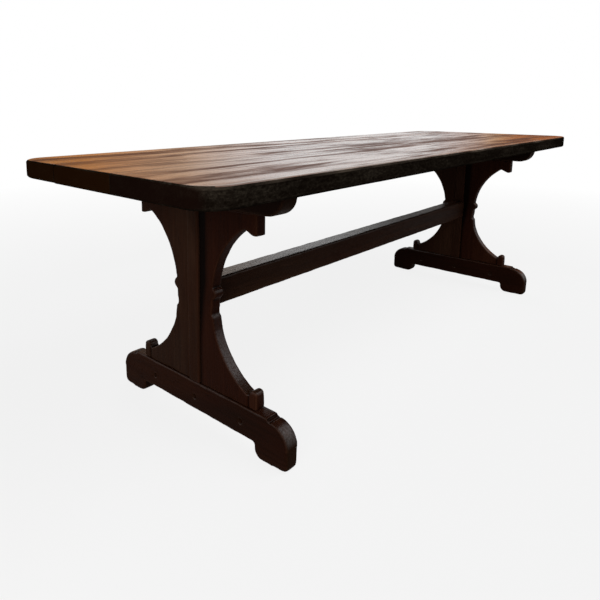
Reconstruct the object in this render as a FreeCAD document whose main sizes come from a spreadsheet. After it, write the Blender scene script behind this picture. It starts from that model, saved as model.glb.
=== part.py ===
import FreeCAD
import Part
import Sketcher
import math
import os

# Driving sizes in millimetres. Levels are heights above the floor unless the note says otherwise.
SIZES = [
    ("table_height", 760, "floor to the upper face of the top"),
    ("top_length", 2440, "length of the planks"),
    ("top_thickness", 50, "thickness of the planks"),
    ("back_plank_width", 205, "width of the back plank"),
    ("middle_plank_width", 256, "width of the middle plank"),
    ("front_plank_width", 319, "width of the front plank"),
    ("corner_radius", 72, "plan radius of the corners of the top"),
    ("top_round", 8, "rounding of the edges of the top"),
    ("joint_ease", 1.2, "chamfer along the plank joints"),
    ("tongue_width", 26, "loose tongue, across the joint"),
    ("tongue_thickness", 10, "loose tongue, thickness"),
    ("tongue_stop", 130, "end of the top to the end of the tongue"),
    ("trestle_spacing", 1804, "middle of one trestle to middle of the other"),
    ("foot_length", 696, "foot, across the table"),
    ("foot_thickness", 46, "foot, along the table"),
    ("foot_top", 126, "upper face of the foot"),
    ("foot_under", 40, "underside of the foot between its pads"),
    ("pad_length", 112, "length of each pad on the floor"),
    ("pad_round", 14, "rounding of the pad's outer lower corner"),
    ("pad_inner_round", 26, "rounding of the pad's inner lower corner"),
    ("throat_round", 7, "hollow where the pad meets the beam"),
    ("nose_radius", 62, "quarter-round nose of the foot"),
    ("quirk_depth", 6, "step above the nose"),
    ("quirk_ledge", 5, "ledge at the foot of the step"),
    ("foot_arris", 2.5, "rounding of the foot's long edges"),
    ("bearer_length", 656, "bearer, across the table"),
    ("bearer_thickness", 58, "bearer, along the table"),
    ("bearer_height", 62, "bearer, depth below the top"),
    ("bearer_lip", 9, "flat end of the bearer above its quarter round"),
    ("bearer_arris", 2, "rounding of the bearer's lower edges"),
    ("post_width", 46, "post, across the table"),
    ("post_thickness", 46, "post, along the table"),
    ("post_arris", 2.5, "chamfer on the post's four corners"),
    ("cheek_thickness", 36, "cheek board"),
    ("ear_reach", 237, "middle of the trestle to the outside of the ear"),
    ("ear_width", 14, "ear, at its lower face"),
    ("ear_drop", 59, "ear's lower face below the bearer"),
    ("ear_notch", 14, "end of the upper hollow, above the ear's lower face"),
    ("ear_slope", 30, "run of the slant from the ear's lower face to the upper hollow"),
    ("ear_round", 5, "rounded lower corner of the ear"),
    ("lug_reach", 239, "middle of the trestle to the outside of the lug"),
    ("lug_width", 26, "lug, across the table"),
    ("lug_height", 44, "shoulder of the lug, above the foot"),
    ("crown_ratio", 0.58, "radius of the lug's rounded top, over its width"),
    ("toe_height", 31, "end of the lower hollow, above the foot"),
    ("upper_radius", 240, "radius of the upper hollow"),
    ("upper_waist", 77, "half waist at the upper hollow"),
    ("lower_radius", 234, "radius of the lower hollow"),
    ("lower_waist", 83, "half waist at the lower hollow"),
    ("waist_foot", 45, "start of the lower hollow, below the stretcher's underside"),
    ("step_half", 77, "half waist at the step"),
    ("step_drop", 9, "step, below the stretcher's underside"),
    ("step_rise", 7, "height of the step's slanted face"),
    ("neck_half", 71, "half waist at the neck"),
    ("cove_rise", 20, "top of the cove, above the stretcher's underside"),
    ("cove_radius", 40, "radius of the cove"),
    ("collar_half", 74, "half waist at the collar"),
    ("bead_rise", 42, "lower edge of the bead, above the stretcher's underside"),
    ("bead_height", 34, "height of the bead"),
    ("bead_ratio", 0.52, "radius of the bead, over its height"),
    ("bead_quirk", 8, "slant between the bead and the upper hollow"),
    ("stretcher_level", 345, "underside of the stretcher"),
    ("stretcher_height", 81, "stretcher, height"),
    ("stretcher_thickness", 62, "stretcher, across the table"),
    ("stretcher_arris", 3, "chamfer on the stretcher's long edges"),
    ("rail_tenon_thickness", 20, "stretcher's tenon, across the table"),
    ("rail_tenon_height", 64, "stretcher's tenon, height"),
    ("rail_tenon_length", 34, "stretcher's tenon, depth in the post"),
    ("edge_tongue_thickness", 14, "tongue on the cheek's inner edge"),
    ("edge_tongue_depth", 7, "depth of that tongue in the post"),
    ("tenon_thickness", 18, "tenons of post and cheeks, along the table"),
    ("post_tenon_width", 28, "post's tenons, across the table"),
    ("cheek_tenon_inner", 150, "middle of the trestle to the near side of a cheek's tenon"),
    ("cheek_tenon_width", 62, "cheek's tenons, across the table"),
    ("foot_mortise", 66, "depth of the mortises in the foot"),
    ("bearer_mortise", 42, "depth of the mortises in the bearer"),
    ("glue_space", 1.5, "mortise deeper than its tenon by this much"),
    ("peg_diameter", 12, "draw pegs, corner to corner"),
    ("peg_reach", 184, "middle of the trestle to the outer pegs"),
    ("peg_below", 48, "pegs in the foot, below its upper face"),
    ("peg_above", 22, "pegs in the bearer, above its lower face"),
    ("peg_proud", 1, "peg ends stand out of the wood by this much"),
    ("screw_inner", 112, "middle of the trestle to the inner screws"),
    ("screw_outer", 264, "middle of the trestle to the outer screws"),
    ("screw_shank", 8, "screw shank diameter"),
    ("screw_head", 15, "screw head, corner to corner"),
    ("screw_head_height", 6, "screw head height"),
    ("screw_sink", 26, "depth of the hole that hides the screw's head"),
    ("screw_sink_diameter", 24, "diameter of that hole"),
    ("screw_bite", 32, "screw's length in the plank, with its point"),
    ("screw_point", 8, "length of the screw's point"),
    ("joint_clearance", 0.2, "play on each side of tenons and tongues"),
    ("hole_clearance", 0.1, "play round pegs and screws"),
]

# Places worked out from the driving sizes, as expressions on the sheet.
TOP_WIDTH = "(dim.back_plank_width + dim.middle_plank_width + dim.front_plank_width)"
TOP_UNDER = "(dim.table_height - dim.top_thickness)"
BEARER_UNDER = f"({TOP_UNDER} - dim.bearer_height)"
TRESTLE_RISE = f"({BEARER_UNDER} - dim.foot_top)"
MIDDLE_EDGE = f"({TOP_WIDTH} / 2 - dim.back_plank_width)"
FRONT_EDGE = f"({MIDDLE_EDGE} - dim.middle_plank_width)"
TONGUE_LEVEL = "(dim.top_thickness / 2 - dim.tongue_thickness / 2)"
RAIL_BASE = "(dim.stretcher_level - dim.foot_top)"
RAIL_SPAN = "(dim.trestle_spacing - dim.post_thickness)"
RAIL_TENON_LEVEL = "(dim.stretcher_height / 2 - dim.rail_tenon_height / 2)"
TENONS = [("0", "dim.foot_mortise", True), (TRESTLE_RISE, "dim.bearer_mortise", False)]
PEG_SEATS = ["-dim.peg_reach", "0", "dim.peg_reach"]
SCREW_SEATS = ["-dim.screw_outer", "-dim.screw_inner", "dim.screw_inner", "dim.screw_outer"]
SIDES = [("left", "-1"), ("right", "1")]

PEG_SIDES = 8
SCREW_HEAD_SIDES = 6
SLIGHT = 0.01  # millimetres within which an edge counts as lying in a plane

doc = FreeCAD.newDocument("refectory_table")
sheet = doc.addObject("Spreadsheet::Sheet", "dim")
for row, (alias, size, note) in enumerate(SIZES, start=1):
    sheet.set(f"A{row}", alias)
    sheet.set(f"B{row}", str(size))
    sheet.set(f"C{row}", note)
    sheet.setAlias(f"B{row}", alias)
doc.recompute()

pieces = []


def number(expression):
    return float(sheet.evalExpression(expression))


def bind(thing, **expressions):
    for path, expression in expressions.items():
        thing.setExpression(path.replace("__", "."), expression)


def place(thing, x="0", y="0", z="0"):
    bind(thing, Placement__Base__x=x, Placement__Base__y=y, Placement__Base__z=z)


def new_body(label):
    body = doc.addObject("PartDesign::Body", label)
    body.Label = label
    pieces.append(body)
    return body


def new_sketch(body, plane, offset="0"):
    """A sketch on one of the body's own planes, moved along the plane's normal by offset."""
    sketch = body.newObject("Sketcher::SketchObject", f"{body.Name}_sketch")
    support = next(face for face in body.Origin.OriginFeatures if face.Role == plane)
    sketch.AttachmentSupport = (support, "")
    sketch.MapMode = "FlatFace"
    bind(sketch, AttachmentOffset__Base__z=offset)
    return sketch


def pin_point(sketch, geometry, position, u, v):
    """Ties a point of the sketch to the expressions u and v."""
    for kind, axis, expression in (("DistanceX", -2, u), ("DistanceY", -1, v)):
        if expression == "0":
            sketch.addConstraint(Sketcher.Constraint("PointOnObject", geometry, position, axis))
            continue
        constraint = Sketcher.Constraint(kind, -1, 1, geometry, position, number(expression))
        index = sketch.addConstraint(constraint)
        sketch.setExpression(f"Constraints[{index}]", expression)


def arc_between(start, end, radius, turn):
    """The short arc from start to end, with its centre on the left (turn 1) or the right (turn -1)."""
    chord = end - start
    rise = math.sqrt(radius ** 2 - (chord.Length / 2) ** 2)
    left = FreeCAD.Vector(-chord.y, chord.x, 0).normalize()
    centre = (start + end) / 2 + left * rise * turn
    first, last = (start, end) if turn > 0 else (end, start)
    angles = [math.atan2(point.y - centre.y, point.x - centre.x) for point in (first, last)]
    return Part.ArcOfCircle(Part.Circle(centre, FreeCAD.Vector(0, 0, 1), radius), angles[0], angles[1])


def draw_outline(sketch, corners):
    """A closed outline of corners (u, v), or (u, v, radius, turn) where an arc leads to the next one."""
    points = [FreeCAD.Vector(number(corner[0]), number(corner[1]), 0) for corner in corners]
    ends = []
    for index, corner in enumerate(corners):
        start = points[index]
        end = points[(index + 1) % len(points)]
        if len(corner) == 2:
            ends.append((sketch.addGeometry(Part.LineSegment(start, end)), 1, 2))
            continue
        radius, turn = corner[2:]
        geometry = sketch.addGeometry(arc_between(start, end, number(radius), turn))
        size = sketch.addConstraint(Sketcher.Constraint("Radius", geometry, number(radius)))
        sketch.setExpression(f"Constraints[{size}]", radius)
        ends.append((geometry, 1, 2) if turn > 0 else (geometry, 2, 1))
    for index, (geometry, first, last) in enumerate(ends):
        following, start = ends[(index + 1) % len(ends)][:2]
        sketch.addConstraint(Sketcher.Constraint("Coincident", geometry, last, following, start))
        pin_point(sketch, geometry, first, *corners[index][:2])


def draw_rectangle(sketch, u, v, width, height):
    """A rectangle centred on u, with its lower side at v."""
    low, high = f"({u}) - ({width}) / 2", f"({u}) + ({width}) / 2"
    top = height if v == "0" else f"({v}) + ({height})"
    draw_outline(sketch, [(low, v), (high, v), (high, top), (low, top)])


def draw_block(sketch, u, v, width, height):
    """A rectangle centred on u and v."""
    draw_rectangle(sketch, u, f"({v}) - ({height}) / 2", width, height)


def draw_circle(sketch, u, v, diameter):
    centre = FreeCAD.Vector(number(u), number(v), 0)
    geometry = sketch.addGeometry(Part.Circle(centre, FreeCAD.Vector(0, 0, 1), number(diameter) / 2))
    size = sketch.addConstraint(Sketcher.Constraint("Diameter", geometry, number(diameter)))
    sketch.setExpression(f"Constraints[{size}]", diameter)
    pin_point(sketch, geometry, 3, u, v)


def mirrored(half):
    """Completes an outline from its half on the positive side, listed anticlockwise."""
    other = []
    for index in range(len(half) - 1, -1, -1):
        corner = (f"-({half[index][0]})", half[index][1])
        lead = half[index - 1][2:] if index > 0 else ()
        other.append(corner + tuple(lead))
    return half + other


def extrude(body, sketch, length, side="One side", backwards=False):
    pad = body.newObject("PartDesign::Pad", f"{body.Name}_pad")
    pad.Profile = sketch
    pad.SideType = side
    pad.Reversed = backwards
    bind(pad, Length=length)
    doc.recompute()
    return pad


def cut(body, sketch, depth=None, side="One side", backwards=False):
    """A pocket of the given depth, or right through the body where depth is left out."""
    before = body.Shape.Volume
    pocket = body.newObject("PartDesign::Pocket", f"{body.Name}_pocket")
    pocket.Profile = sketch
    pocket.SideType = side
    pocket.Reversed = backwards
    if depth is None:
        pocket.Type = "ThroughAll"
    else:
        bind(pocket, Length=depth)
    doc.recompute()
    if body.Shape.Volume > before - 1:
        raise RuntimeError(f"{pocket.Name} cuts nothing")
    return pocket


def ease(body, kind, size, chosen):
    """Rounds (Fillet) or chamfers the edges of the body's last feature that chosen accepts."""
    base = body.Tip
    edges = enumerate(base.Shape.Edges, start=1)
    names = [f"Edge{index}" for index, edge in edges if chosen(edge.BoundBox)]
    feature = body.newObject(f"PartDesign::{kind}", f"{body.Name}_{kind.lower()}")
    feature.Base = (base, names)
    bind(feature, **{"Radius" if kind == "Fillet" else "Size": size})
    doc.recompute()
    return feature


def flat_at(low, high, value):
    """True where a box is flat and lies at value."""
    return abs(low - value) < SLIGHT and abs(high - value) < SLIGHT


def bore(body, plane, seats, diameter, depth=None, offset="0", side="One side", backwards=False):
    """Round holes at the given places of one plane."""
    sketch = new_sketch(body, plane, offset)
    for u, v in seats:
        draw_circle(sketch, u, v, diameter)
    return cut(body, sketch, depth, side, backwards)


def mortises(body, offset, depth, backwards=False):
    """The three mortises of a trestle, for the post and the two cheeks."""
    sketch = new_sketch(body, "XY_Plane", offset)
    width = "dim.tenon_thickness + 2 * dim.joint_clearance"
    cheek = "dim.cheek_tenon_inner + dim.cheek_tenon_width / 2"
    draw_block(sketch, "0", "0", width, "dim.post_tenon_width + 2 * dim.joint_clearance")
    for centre in (cheek, f"-({cheek})"):
        draw_block(sketch, "0", centre, width, "dim.cheek_tenon_width + 2 * dim.joint_clearance")
    return cut(body, sketch, depth, backwards=backwards)


def plank(label, width, outer, back_edge, grooves, screws):
    """One plank of the top. Its own frame starts at the middle of its lower back edge."""
    body = new_body(label)
    half = "dim.top_length / 2"
    front = f"-({width})"
    radius = "dim.corner_radius"
    corners = [(f"-{half}", "0"), (f"-{half}", front), (half, front), (half, "0")]
    if outer == "front":
        corners[1:3] = [(f"-{half}", f"{front} + {radius}", radius, 1), (f"-{half} + {radius}", front),
                        (f"{half} - {radius}", front, radius, 1), (half, f"{front} + {radius}")]
    if outer == "back":
        corners[0:1] = [(f"-{half} + {radius}", "0", radius, 1), (f"-{half}", f"-{radius}")]
        corners[-1:] = [(half, f"-{radius}", radius, 1), (f"{half} - {radius}", "0")]
    sketch = new_sketch(body, "XY_Plane")
    draw_outline(sketch, corners)
    extrude(body, sketch, "dim.top_thickness")
    joints = [number(edge) for edge in grooves]
    thickness = number("dim.top_thickness")

    def at_joint(box):
        return any(flat_at(box.YMin, box.YMax, level) for level in joints)

    def at_rim(box):
        return any(flat_at(box.ZMin, box.ZMax, level) for level in (0, thickness)) and not at_joint(box)

    ease(body, "Fillet", "dim.top_round", at_rim)
    ease(body, "Chamfer", "dim.joint_ease",
         lambda box: at_joint(box) and box.XLength > thickness and box.ZMin > thickness / 2)
    groove_depth = "dim.tongue_width / 2 + dim.joint_clearance"
    for edge in grooves:
        sketch = new_sketch(body, "XZ_Plane", f"-({edge})")
        draw_rectangle(sketch, "0", f"{TONGUE_LEVEL} - dim.joint_clearance",
                       "dim.top_length - 2 * dim.tongue_stop + 2 * dim.joint_clearance",
                       "dim.tongue_thickness + 2 * dim.joint_clearance")
        cut(body, sketch, groove_depth, backwards=edge == "0")
    seats = []
    for _, sign in SIDES:
        seats += [(f"{sign} * dim.trestle_spacing / 2", f"{seat} - {back_edge}") for seat in screws]
    bore(body, "XY_Plane", seats, "dim.screw_shank + 2 * dim.hole_clearance",
         "dim.screw_bite + dim.glue_space", backwards=True)
    place(body, y=back_edge, z=TOP_UNDER)


def loose_tongue(label, edge):
    tongue = doc.addObject("Part::Box", label)
    tongue.Label = label
    bind(tongue, Length="dim.top_length - 2 * dim.tongue_stop", Width="dim.tongue_width",
         Height="dim.tongue_thickness")
    place(tongue, "-(dim.top_length / 2 - dim.tongue_stop)", f"{edge} - dim.tongue_width / 2",
          f"{TOP_UNDER} + {TONGUE_LEVEL}")
    pieces.append(tongue)


def foot(label, middle):
    """The beam with a pad at each end, drawn across the table and thickened along it."""
    body = new_body(label)
    end = "dim.foot_length / 2"
    pad_inner = f"{end} - dim.pad_length"
    ledge = "dim.foot_top - dim.quirk_depth"
    nose_top = f"{end} - dim.nose_radius"
    half = [
        (f"{pad_inner} - dim.throat_round", "dim.foot_under", "dim.throat_round", -1),
        (pad_inner, "dim.foot_under - dim.throat_round"),
        (pad_inner, "dim.pad_inner_round", "dim.pad_inner_round", 1),
        (f"{pad_inner} + dim.pad_inner_round", "0"),
        (f"{end} - dim.pad_round", "0", "dim.pad_round", 1),
        (end, "dim.pad_round"),
        (end, f"{ledge} - dim.nose_radius", "dim.nose_radius", 1),
        (nose_top, ledge),
        (f"{nose_top} - dim.quirk_ledge", ledge),
        (f"{nose_top} - dim.quirk_ledge", "dim.foot_top"),
    ]
    sketch = new_sketch(body, "YZ_Plane")
    draw_outline(sketch, mirrored(half))
    extrude(body, sketch, "dim.foot_thickness", "Symmetric")
    face = number("dim.foot_thickness / 2")
    ease(body, "Fillet", "dim.foot_arris",
         lambda box: any(flat_at(box.XMin, box.XMax, side) for side in (-face, face)))
    mortises(body, "dim.foot_top", "dim.foot_mortise")
    bore(body, "YZ_Plane", [(seat, "dim.foot_top - dim.peg_below") for seat in PEG_SEATS],
         "dim.peg_diameter + 2 * dim.hole_clearance", side="Symmetric")
    place(body, x=middle)


def bearer(label, middle):
    """The batten under the top, with quarter-round lower ends."""
    body = new_body(label)
    end = "dim.bearer_length / 2"
    radius = "(dim.bearer_height - dim.bearer_lip)"
    half = [(f"{end} - {radius}", "0", radius, 1), (end, radius), (end, "dim.bearer_height")]
    sketch = new_sketch(body, "YZ_Plane")
    draw_outline(sketch, mirrored(half))
    extrude(body, sketch, "dim.bearer_thickness", "Symmetric")
    face = number("dim.bearer_thickness / 2")
    height = number("dim.bearer_height")

    def at_lower_arris(box):
        return any(flat_at(box.XMin, box.XMax, side) for side in (-face, face)) and box.ZMin < height - SLIGHT

    ease(body, "Fillet", "dim.bearer_arris", at_lower_arris)
    mortises(body, "0", "dim.bearer_mortise", backwards=True)
    bore(body, "YZ_Plane", [(seat, "dim.peg_above") for seat in PEG_SEATS],
         "dim.peg_diameter + 2 * dim.hole_clearance", side="Symmetric")
    seats = [("0", seat) for seat in SCREW_SEATS]
    bore(body, "XY_Plane", seats, "dim.screw_sink_diameter", "dim.screw_sink", backwards=True)
    bore(body, "XY_Plane", seats, "dim.screw_shank + 2 * dim.hole_clearance", backwards=True)
    place(body, x=middle, z=BEARER_UNDER)


def post(label, middle, outward):
    """The upright in the middle of a trestle, tenoned into the foot and the bearer."""
    body = new_body(label)
    sketch = new_sketch(body, "XY_Plane")
    draw_block(sketch, "0", "0", "dim.post_thickness", "dim.post_width")
    extrude(body, sketch, TRESTLE_RISE)
    rise = number(TRESTLE_RISE)
    ease(body, "Chamfer", "dim.post_arris", lambda box: box.ZLength > rise - SLIGHT)
    for level, length, backwards in TENONS:
        sketch = new_sketch(body, "XY_Plane", level)
        draw_block(sketch, "0", "0", "dim.tenon_thickness", "dim.post_tenon_width")
        extrude(body, sketch, f"{length} - dim.glue_space", backwards=backwards)
    groove = "dim.edge_tongue_depth + dim.joint_clearance"
    sketch = new_sketch(body, "XY_Plane")
    for flank in ("1", "-1"):
        draw_block(sketch, "0", f"{flank} * (dim.post_width - ({groove})) / 2",
                   "dim.edge_tongue_thickness + 2 * dim.joint_clearance", groove)
    cut(body, sketch, TRESTLE_RISE, backwards=True)
    sketch = new_sketch(body, "YZ_Plane", f"-({outward}) * dim.post_thickness / 2")
    draw_rectangle(sketch, "0", f"{RAIL_BASE} + {RAIL_TENON_LEVEL} - dim.joint_clearance",
                   "dim.rail_tenon_thickness + 2 * dim.joint_clearance",
                   "dim.rail_tenon_height + 2 * dim.joint_clearance")
    cut(body, sketch, "dim.rail_tenon_length + dim.glue_space", backwards=outward == "1")
    bore(body, "YZ_Plane", [("0", "-dim.peg_below"), ("0", f"{TRESTLE_RISE} + dim.peg_above")],
         "dim.peg_diameter + 2 * dim.hole_clearance", side="Symmetric")
    place(body, x=middle, z="dim.foot_top")


def cheek(label, middle, turned):
    """A sawn board beside the post. Its own frame starts at the middle of the trestle, on the foot."""
    body = new_body(label)
    root = "dim.post_width / 2"
    lug_inner = "dim.lug_reach - dim.lug_width"
    bead_low = f"{RAIL_BASE} + dim.bead_rise"
    bead_high = f"{bead_low} + dim.bead_height"
    ear_inner = "dim.ear_reach - dim.ear_width"
    ear_low = f"{TRESTLE_RISE} - dim.ear_drop"
    outline = [
        (root, "0"),
        ("dim.lug_reach", "0"),
        ("dim.lug_reach", "dim.lug_height", "dim.crown_ratio * dim.lug_width", 1),
        (lug_inner, "dim.lug_height"),
        (lug_inner, "dim.toe_height", "dim.lower_radius", -1),
        ("dim.lower_waist", f"{RAIL_BASE} - dim.waist_foot"),
        ("dim.step_half", f"{RAIL_BASE} - dim.step_drop"),
        ("dim.neck_half", f"{RAIL_BASE} - dim.step_drop + dim.step_rise", "dim.cove_radius", -1),
        ("dim.collar_half", f"{RAIL_BASE} + dim.cove_rise"),
        ("dim.collar_half", bead_low, "dim.bead_ratio * dim.bead_height", 1),
        ("dim.collar_half", bead_high),
        ("dim.upper_waist", f"{bead_high} + dim.bead_quirk", "dim.upper_radius", -1),
        (f"{ear_inner} - dim.ear_slope", f"{ear_low} + dim.ear_notch"),
        (ear_inner, ear_low),
        ("dim.ear_reach - dim.ear_round", ear_low, "dim.ear_round", 1),
        ("dim.ear_reach", f"{ear_low} + dim.ear_round"),
        ("dim.ear_reach", TRESTLE_RISE),
        (root, TRESTLE_RISE),
    ]
    sketch = new_sketch(body, "YZ_Plane")
    draw_outline(sketch, outline)
    extrude(body, sketch, "dim.cheek_thickness", "Symmetric")
    sketch = new_sketch(body, "XY_Plane")
    draw_block(sketch, "0", f"({root}) - dim.edge_tongue_depth / 2", "dim.edge_tongue_thickness",
               "dim.edge_tongue_depth")
    extrude(body, sketch, TRESTLE_RISE)
    for level, length, backwards in TENONS:
        sketch = new_sketch(body, "XY_Plane", level)
        draw_block(sketch, "0", "dim.cheek_tenon_inner + dim.cheek_tenon_width / 2", "dim.tenon_thickness",
                   "dim.cheek_tenon_width")
        extrude(body, sketch, f"{length} - dim.glue_space", backwards=backwards)
    levels = ["-dim.peg_below", f"{TRESTLE_RISE} + dim.peg_above"]
    bore(body, "YZ_Plane", [("dim.peg_reach", level) for level in levels],
         "dim.peg_diameter + 2 * dim.hole_clearance", side="Symmetric")
    body.Placement.Rotation = FreeCAD.Rotation(FreeCAD.Vector(0, 0, 1), 180 if turned else 0)
    place(body, x=middle, z="dim.foot_top")


def stretcher(label):
    """The rail between the posts, with a stub tenon at each end."""
    body = new_body(label)
    sketch = new_sketch(body, "YZ_Plane")
    draw_rectangle(sketch, "0", "0", "dim.stretcher_thickness", "dim.stretcher_height")
    extrude(body, sketch, RAIL_SPAN, "Symmetric")
    span = number(RAIL_SPAN)
    ease(body, "Chamfer", "dim.stretcher_arris", lambda box: box.XLength > span - SLIGHT)
    sketch = new_sketch(body, "YZ_Plane")
    draw_rectangle(sketch, "0", RAIL_TENON_LEVEL, "dim.rail_tenon_thickness", "dim.rail_tenon_height")
    extrude(body, sketch, f"{RAIL_SPAN} + 2 * dim.rail_tenon_length", "Symmetric")
    place(body, z="dim.stretcher_level")


def group(label, members):
    """Loose like pieces that share one node."""
    compound = doc.addObject("Part::Compound", label)
    compound.Label = label
    compound.Links = members
    pieces.append(compound)


def pegs(label, middle, level, thickness):
    """Eight-sided draw pegs across a foot or a bearer."""
    members = []
    for index, seat in enumerate(PEG_SEATS, start=1):
        peg = doc.addObject("Part::Prism", f"{label}_{index}")
        peg.Polygon = PEG_SIDES
        bind(peg, Circumradius="dim.peg_diameter / 2", Height=f"{thickness} + 2 * dim.peg_proud")
        peg.Placement.Rotation = FreeCAD.Rotation(FreeCAD.Vector(0, 1, 0), 90)
        place(peg, f"{middle} - {thickness} / 2 - dim.peg_proud", seat, level)
        members.append(peg)
    group(label, members)


def screws(label, middle):
    """Screws from the bearer up into the planks, with six-sided heads."""
    seat_level = f"({BEARER_UNDER} + dim.screw_sink)"
    shank_length = "(dim.bearer_height - dim.screw_sink + dim.screw_bite - dim.screw_point)"
    members = []
    for index, seat in enumerate(SCREW_SEATS, start=1):
        head = doc.addObject("Part::Prism", f"{label}_{index}_head")
        head.Polygon = SCREW_HEAD_SIDES
        bind(head, Circumradius="dim.screw_head / 2", Height="dim.screw_head_height")
        place(head, middle, seat, f"{seat_level} - dim.screw_head_height")
        shank = doc.addObject("Part::Cylinder", f"{label}_{index}_shank")
        bind(shank, Radius="dim.screw_shank / 2", Height=shank_length)
        place(shank, middle, seat, seat_level)
        point = doc.addObject("Part::Cone", f"{label}_{index}_point")
        bind(point, Radius1="dim.screw_shank / 2", Height="dim.screw_point")
        point.Radius2 = 0
        place(point, middle, seat, f"{seat_level} + {shank_length}")
        screw = doc.addObject("Part::MultiFuse", f"{label}_{index}")
        screw.Shapes = [head, shank, point]
        members.append(screw)
    group(label, members)


plank("plank_back", "dim.back_plank_width", "back", f"{TOP_WIDTH} / 2", ["-(dim.back_plank_width)"],
      ["dim.screw_outer"])
plank("plank_middle", "dim.middle_plank_width", None, MIDDLE_EDGE, ["0", "-(dim.middle_plank_width)"],
      ["dim.screw_inner"])
plank("plank_front", "dim.front_plank_width", "front", FRONT_EDGE, ["0"],
      ["-dim.screw_inner", "-dim.screw_outer"])
loose_tongue("tongue_back", MIDDLE_EDGE)
loose_tongue("tongue_front", FRONT_EDGE)
stretcher("stretcher")
for side, sign in SIDES:
    centre = f"{sign} * dim.trestle_spacing / 2"
    foot(f"foot_{side}", centre)
    bearer(f"bearer_{side}", centre)
    post(f"post_{side}", centre, sign)
    cheek(f"cheek_{side}_back", centre, turned=False)
    cheek(f"cheek_{side}_front", centre, turned=True)
    pegs(f"foot_pegs_{side}", centre, "dim.foot_top - dim.peg_below", "dim.foot_thickness")
    pegs(f"bearer_pegs_{side}", centre, f"{BEARER_UNDER} + dim.peg_above", "dim.bearer_thickness")
    screws(f"top_screws_{side}", centre)

doc.recompute()
for thing in doc.Objects:
    if {"Invalid", "Error"} & set(thing.State):
        raise RuntimeError(f"{thing.Label} failed: {thing.State}")
for piece in pieces:
    if piece.Shape.isNull() or not piece.Shape.isValid():
        raise RuntimeError(f"{piece.Label} has no valid shape")
os.makedirs("parts", exist_ok=True)
for piece in pieces:
    piece.Shape.exportStep(f"parts/{piece.Label}.step")
    print(piece.Label, len(piece.Shape.Solids), "solids", round(piece.Shape.Volume / 1000), "cm3")
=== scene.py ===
import math

import bmesh
import bpy
import numpy
from mathutils import Matrix, Vector, noise


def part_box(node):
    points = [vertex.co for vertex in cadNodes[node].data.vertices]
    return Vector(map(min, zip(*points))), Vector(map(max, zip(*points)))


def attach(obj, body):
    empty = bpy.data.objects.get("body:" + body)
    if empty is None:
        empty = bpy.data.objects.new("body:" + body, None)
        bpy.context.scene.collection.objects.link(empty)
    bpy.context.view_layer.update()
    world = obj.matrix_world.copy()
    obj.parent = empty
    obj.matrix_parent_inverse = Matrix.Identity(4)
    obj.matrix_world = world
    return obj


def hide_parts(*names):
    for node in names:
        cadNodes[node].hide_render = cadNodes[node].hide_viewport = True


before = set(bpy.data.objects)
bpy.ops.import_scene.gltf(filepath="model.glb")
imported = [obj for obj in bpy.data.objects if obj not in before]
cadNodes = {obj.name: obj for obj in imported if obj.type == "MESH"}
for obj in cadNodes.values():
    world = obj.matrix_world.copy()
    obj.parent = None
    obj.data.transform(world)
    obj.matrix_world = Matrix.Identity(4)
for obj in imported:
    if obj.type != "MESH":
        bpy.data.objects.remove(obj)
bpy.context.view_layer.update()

scene = bpy.context.scene
print("frame loaded,", len(cadNodes), "CAD nodes")


def toLinear(level):
    level = level / 255
    return level / 12.92 if level <= 0.04045 else ((level + 0.055) / 1.055) ** 2.4


def stain(red, green, blue):
    # an everyday 0-255 colour as Blender's linear one
    return (toLinear(red), toLinear(green), toLinear(blue), 1)


# new nodes line up in rows in the node editor
nodeGrid = {"columns": 12, "right": 220, "down": 320}
noiseSpan = (0.3, 0.7)  # most of a noise texture lies between these


def addNode(tree, kind, inputs=None, **settings):
    row, column = divmod(len(tree.nodes), nodeGrid["columns"])
    node = tree.nodes.new(kind)
    node.location = (column * nodeGrid["right"], -row * nodeGrid["down"])
    for name, value in settings.items():
        setattr(node, name, value)
    for name, value in (inputs or {}).items():
        if isinstance(value, bpy.types.NodeSocket):
            tree.links.new(value, node.inputs[name])
        else:
            node.inputs[name].default_value = value
    return node


def mathNode(tree, operation, first, second=0.0, clamp=False):
    node = addNode(tree, "ShaderNodeMath", {0: first, 1: second}, operation=operation, use_clamp=clamp)
    return node.outputs[0]


def vectorNode(tree, operation, first, second=None):
    inputs = {0: first} if second is None else {0: first, 1: second}
    return addNode(tree, "ShaderNodeVectorMath", inputs, operation=operation).outputs


def splitVector(tree, vector):
    return addNode(tree, "ShaderNodeSeparateXYZ", {0: vector}).outputs


def mixColour(tree, share, first, second):
    inputs = {0: share, 6: first, 7: second}
    return addNode(tree, "ShaderNodeMix", inputs, data_type="RGBA", clamp_factor=True).outputs[2]


def rangeNode(tree, value, fromLow, fromHigh, toLow=0.0, toHigh=1.0):
    inputs = {0: value, 1: fromLow, 2: fromHigh, 3: toLow, 4: toHigh}
    return addNode(tree, "ShaderNodeMapRange", inputs, clamp=True).outputs[0]


def swing(tree, texture, reach):
    # a noise texture as a swing to both sides of zero
    return rangeNode(tree, texture, *noiseSpan, -reach, reach)


def noiseNode(tree, vector, scale, detail=4.0, rough=0.5):
    inputs = {"Vector": vector, "Scale": scale, "Detail": detail, "Roughness": rough}
    return addNode(tree, "ShaderNodeTexNoise", inputs).outputs["Fac"]


def grainNoise(tree, board, stretch, detail=4.0, rough=0.5):
    # noise drawn out along the grain
    return noiseNode(tree, vectorNode(tree, "MULTIPLY", board, stretch)[0], 1.0, detail, rough)


def rampNode(tree, value, stops):
    node = addNode(tree, "ShaderNodeValToRGB", {0: value})
    elements = node.color_ramp.elements
    elements[0].position, elements[0].color = stops[0]
    elements[1].position, elements[1].color = stops[-1]
    for position, colour in stops[1:-1]:
        elements.new(position).color = colour
    return node.outputs[0]


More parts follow.
